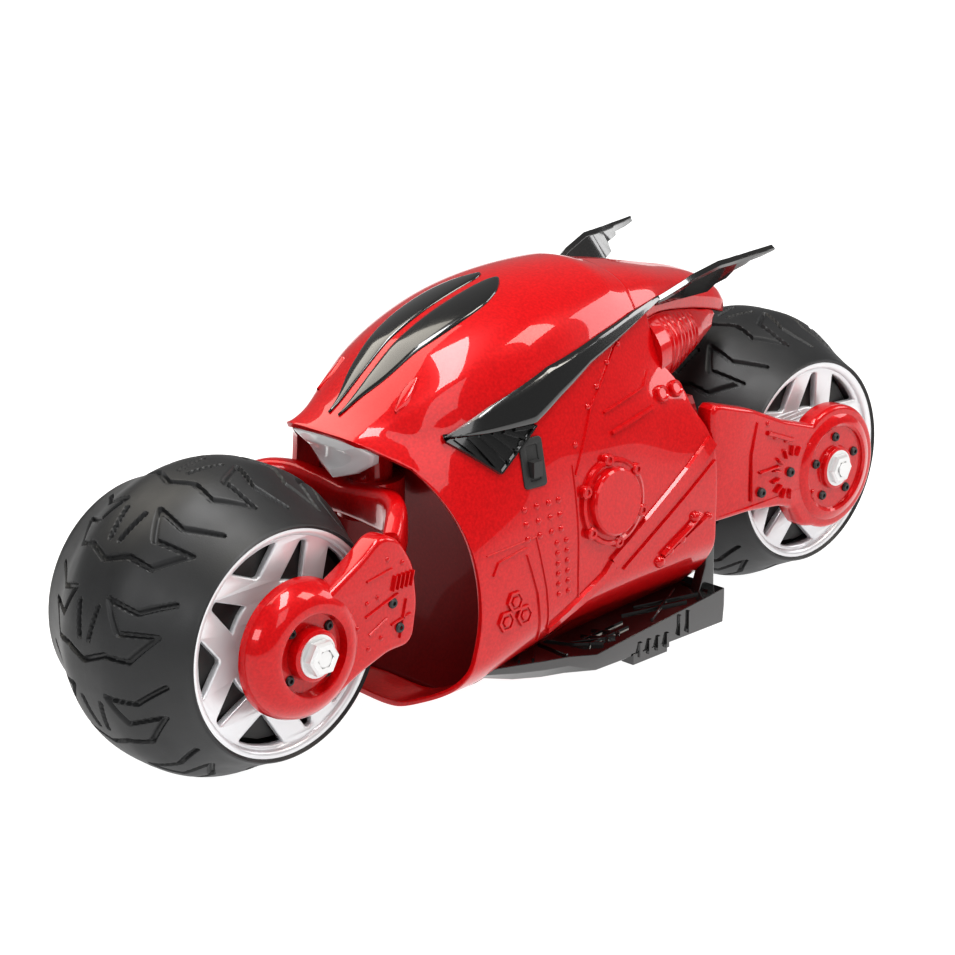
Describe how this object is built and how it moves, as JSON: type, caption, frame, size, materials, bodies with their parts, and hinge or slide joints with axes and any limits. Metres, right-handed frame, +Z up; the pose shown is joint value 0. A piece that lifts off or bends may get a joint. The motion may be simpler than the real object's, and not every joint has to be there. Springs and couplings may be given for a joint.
{
  "type": "remote-controlled toy motorcycle",
  "caption": "Low toy motorcycle with broad spoked wheels, a red shell fairing with black side intakes, a steered yoke fork, belt drive, footboards and tail fins.",
  "frame": {"origin": "on the ground plane midway between the two wheel centres, on the bike's centre plane", "axes": "+Z up, -Y forward along the bike, +X to the rider's left, the side with the power switch"},
  "size_m": [0.121, 0.4026, 0.1586],
  "materials": {
    "red_gloss_plastic": "moulded plastic sprayed candy red under a clear gloss coat",
    "dark_red_plastic": "red moulded plastic, satin, in the shade of the body",
    "black_gloss_plastic": "black moulded plastic with a polished face",
    "black_matte_plastic": "plain black moulded plastic",
    "tyre_rubber": "soft black rubber with a moulded tread",
    "silver_paint": "plastic with satin silver paint",
    "bright_steel": "bright zinc-plated steel",
    "lens_plastic": "translucent pale grey plastic",
    "belt_rubber": "flat rubber belt",
    "board_laminate": "green circuit board laminate",
    "battery_wrap": "blue shrink wrap"
  },
  "bodies": {
    "chassis": {"fairing_left": "red_gloss_plastic", "fairing_right": "red_gloss_plastic", "front_bulkhead": "dark_red_plastic", "rear_bulkhead": "dark_red_plastic", "tail_cowl": "red_gloss_plastic", "tail_duct_left": "red_gloss_plastic", "tail_duct_right": "red_gloss_plastic", "tail_fin_left": "black_gloss_plastic", "tail_fin_right": "black_gloss_plastic", "side_intake_left": "black_gloss_plastic", "side_intake_right": "black_gloss_plastic", "windshield_left": "black_gloss_plastic", "windshield_right": "black_gloss_plastic", "headlight_lens": "lens_plastic", "footboard_left": "black_gloss_plastic", "footboard_right": "black_gloss_plastic", "chassis_tray": "black_matte_plastic", "battery_pack": "battery_wrap", "battery_door": "black_matte_plastic", "battery_door_screw": "bright_steel", "circuit_board": "board_laminate", "steering_servo": "black_matte_plastic", "drive_motor": "bright_steel", "drive_belt": "belt_rubber", "switch_housing": "black_matte_plastic", "swingarm_left": "red_gloss_plastic", "swingarm_right": "red_gloss_plastic", "swingarm_cap_left": "red_gloss_plastic", "swingarm_cap_right": "red_gloss_plastic", "rear_axle": "bright_steel", "rear_axle_nut_left": "bright_steel", "rear_axle_nut_right": "bright_steel"},
    "fork": {"fork_crown": "red_gloss_plastic", "steering_lever": "black_matte_plastic", "fork_arm_left": "red_gloss_plastic", "fork_arm_right": "red_gloss_plastic", "fork_cap_left": "red_gloss_plastic", "fork_cap_right": "red_gloss_plastic", "front_axle": "bright_steel", "front_axle_nut_left": "bright_steel", "front_axle_nut_right": "bright_steel"},
    "front_wheel": {"front_tyre": "tyre_rubber", "front_rim_left": "silver_paint", "front_rim_right": "silver_paint", "front_hub_core": "black_matte_plastic"},
    "rear_wheel": {"rear_tyre": "tyre_rubber", "rear_rim_left": "silver_paint", "rear_rim_right": "silver_paint", "rear_hub_core": "black_matte_plastic", "rear_pulley": "black_matte_plastic"},
    "power_switch": {"power_switch_knob": "black_gloss_plastic"},
    "motor_pulley": {"motor_pulley": "bright_steel"}
  },
  "joints": [
    {"name": "steering", "type": "hinge", "parent": "chassis", "child": "fork", "pos_m": [0, -0.067, 0.085], "axis": [0, 0, 1], "range_deg": [-22, 22]},
    {"name": "front_wheel_spin", "type": "hinge", "parent": "fork", "child": "front_wheel", "pos_m": [0, -0.14375, 0.0575], "axis": [1, 0, 0], "continuous": true},
    {"name": "rear_wheel_spin", "type": "hinge", "parent": "chassis", "child": "rear_wheel", "pos_m": [0, 0.14375, 0.0575], "axis": [1, 0, 0], "continuous": true},
    {"name": "motor_pulley_spin", "type": "hinge", "parent": "chassis", "child": "motor_pulley", "pos_m": [0.044, 0.076, 0.08], "axis": [1, 0, 0], "continuous": true},
    {"name": "power_switch_slide", "type": "slide", "parent": "chassis", "child": "power_switch", "axis": [0, 0, 1], "range_m": [0, 0.004]}
  ],
  "couplings": [
    {"joint": "motor_pulley_spin", "follows": "rear_wheel_spin", "ratio": 2.5}
  ]
}
